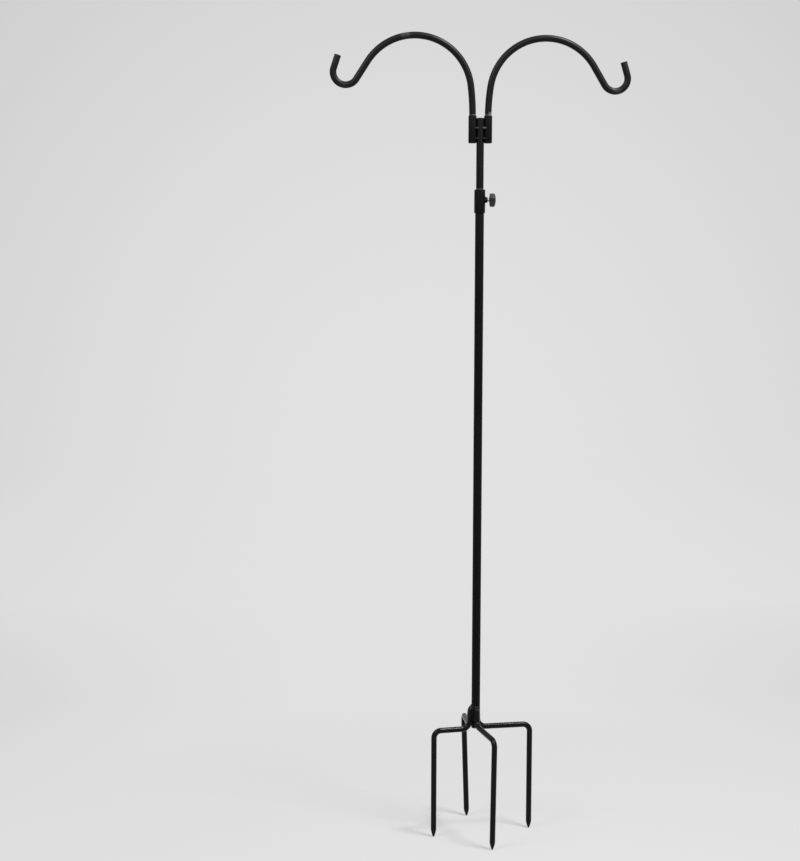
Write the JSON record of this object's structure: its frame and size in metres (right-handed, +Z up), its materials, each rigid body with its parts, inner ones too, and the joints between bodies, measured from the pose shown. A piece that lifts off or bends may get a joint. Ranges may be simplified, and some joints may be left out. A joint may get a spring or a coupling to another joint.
{
  "type": "hanging plant stand",
  "caption": "Telescopic black steel plant stand with two swinging shepherd's-crook arms in a socket head, a hand-screw height clamp and a pronged ground foot.",
  "frame": {"origin": "on the pole's axis, at the level of the prongs' points", "axes": "+Z up along the pole, +X towards the right arm and the clamp's knob, front view along +Y"},
  "size_m": [0.5449, 0.1933, 1.4828],
  "materials": {
    "powder_coat": "satin black powder coat with slight orange peel",
    "weld_coat": "coated weld beads",
    "zinc": "bright zinc plate",
    "black_plastic": "moulded plastic"
  },
  "bodies": {
    "ground_stake": {"ground_tube": "powder_coat", "joining_spigot": "powder_coat", "prong_front": "powder_coat", "prong_right": "powder_coat", "prong_back": "powder_coat", "prong_left": "powder_coat", "prong_weld_front": "weld_coat", "prong_weld_right": "weld_coat", "prong_weld_back": "weld_coat", "prong_weld_left": "weld_coat"},
    "middle_pole": {"middle_tube": "powder_coat", "clamp_collar": "powder_coat", "clamp_nut": "powder_coat"},
    "screw_slide": {"clamp_screw": "zinc"},
    "knob": {"star_knob": "black_plastic"},
    "upper_pole": {"upper_tube": "powder_coat", "tube_cap": "black_plastic", "arm_socket_left": "powder_coat", "arm_socket_right": "powder_coat", "tack_left_front_upper": "weld_coat", "tack_left_front_lower": "weld_coat", "tack_left_rear_upper": "weld_coat", "tack_left_rear_lower": "weld_coat", "tack_right_front_upper": "weld_coat", "tack_right_front_lower": "weld_coat", "tack_right_rear_upper": "weld_coat", "tack_right_rear_lower": "weld_coat"},
    "left_arm": {"arm_left": "powder_coat"},
    "right_arm": {"arm_right": "powder_coat"}
  },
  "joints": [
    {"name": "pole_swivel", "type": "hinge", "parent": "ground_stake", "child": "middle_pole", "pos_m": [0, 0, 0.789], "axis": [0, 0, 1], "continuous": true},
    {"name": "screw_travel", "type": "slide", "parent": "middle_pole", "child": "screw_slide", "axis": [1, 0, 0], "range_m": [0, 0.00251]},
    {"name": "knob_turn", "type": "hinge", "parent": "screw_slide", "child": "knob", "pos_m": [0.02, 0, 1.1848], "axis": [1, 0, 0], "range_deg": [0, 900]},
    {"name": "height_slide", "type": "slide", "parent": "middle_pole", "child": "upper_pole", "axis": [0, 0, 1], "range_m": [-0.08, 0.23]},
    {"name": "left_arm_swing", "type": "hinge", "parent": "upper_pole", "child": "left_arm", "pos_m": [-0.0142, 0, 1.33], "axis": [0, 0, 1], "range_deg": [-145, 145]},
    {"name": "right_arm_swing", "type": "hinge", "parent": "upper_pole", "child": "right_arm", "pos_m": [0.0142, 0, 1.33], "axis": [0, 0, 1], "range_deg": [-145, 145]}
  ],
  "couplings": [
    {"joint": "screw_travel", "follows": "knob_turn", "m_per_rad": 0.00015915}
  ]
}
